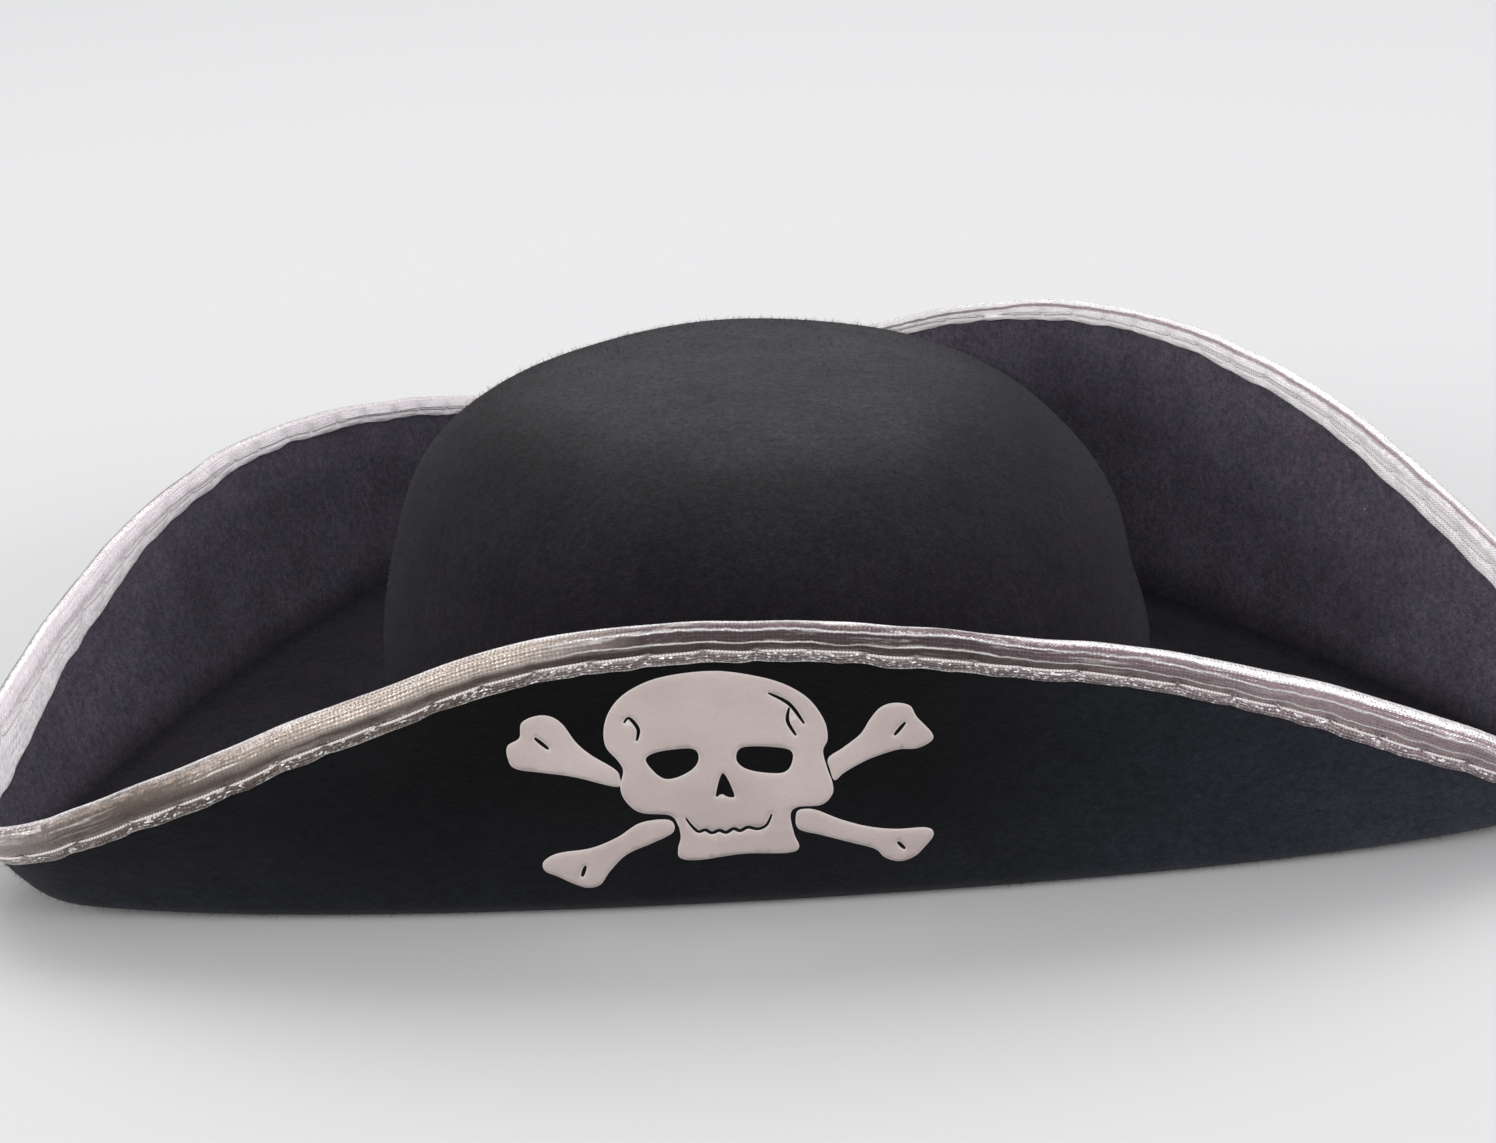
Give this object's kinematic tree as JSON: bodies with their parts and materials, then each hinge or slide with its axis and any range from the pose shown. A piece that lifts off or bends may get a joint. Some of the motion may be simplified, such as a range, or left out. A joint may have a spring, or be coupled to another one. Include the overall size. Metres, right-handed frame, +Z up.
{
  "type": "tricorn pirate hat",
  "caption": "Three-cornered black felt hat with a domed crown, turned-up sides bound in silver ribbon and a pale skull-and-crossbones transfer on the front flap.",
  "frame": {"origin": "bottom centre of the hat's own box, on the plane the brim rests on", "axes": "+Z up through the crown, -Y towards the front flap, +X to the viewer's right facing the print"},
  "size_m": [0.3664, 0.3077, 0.0826],
  "materials": {
    "black_felt": "pressed felt, matt and fibrous",
    "silver_ribbon": "woven metallic ribbon, sparkling",
    "silver_thread": "twisted polyester thread",
    "transfer_film": "matt heat transfer film",
    "lining_ribbon": "ribbed grosgrain",
    "black_thread": "twisted polyester thread",
    "label_cloth": "woven satin tape"
  },
  "bodies": {
    "hat_body": {"crown": "black_felt", "brim": "black_felt", "right_point": "black_felt", "left_point": "black_felt", "back_point": "black_felt", "right_point_binding": "silver_ribbon", "left_point_binding": "silver_ribbon", "back_point_binding": "silver_ribbon", "sweatband": "lining_ribbon", "sweatband_stitches": "black_thread", "care_label": "label_cloth"},
    "front_side": {"front_flap": "black_felt", "front_binding": "silver_ribbon", "front_binding_stitches": "silver_thread", "skull": "transfer_film", "upper_left_bone": "transfer_film", "upper_right_bone": "transfer_film", "lower_left_bone": "transfer_film", "lower_right_bone": "transfer_film"},
    "right_side": {"right_flap": "black_felt", "right_binding": "silver_ribbon", "right_binding_stitches": "silver_thread"},
    "left_side": {"left_flap": "black_felt", "left_binding": "silver_ribbon", "left_binding_stitches": "silver_thread"}
  },
  "joints": [
    {"name": "front_flap_flex", "type": "hinge", "parent": "hat_body", "child": "front_side", "pos_m": [0.00162, -0.12926, 0.0061], "axis": [1, 0.0014, 0], "range_deg": [-8, 15], "stiffness_Nm_per_rad": 0.25},
    {"name": "right_flap_flex", "type": "hinge", "parent": "hat_body", "child": "right_side", "pos_m": [0.09051, 0.02551, 0.0061], "axis": [-0.6101, 0.7923, 0], "range_deg": [-8, 12], "stiffness_Nm_per_rad": 0.25},
    {"name": "left_flap_flex", "type": "hinge", "parent": "hat_body", "child": "left_side", "pos_m": [-0.11531, 0.02364, 0.0061], "axis": [-0.4958, -0.8684, 0], "range_deg": [-8, 12], "stiffness_Nm_per_rad": 0.25}
  ]
}
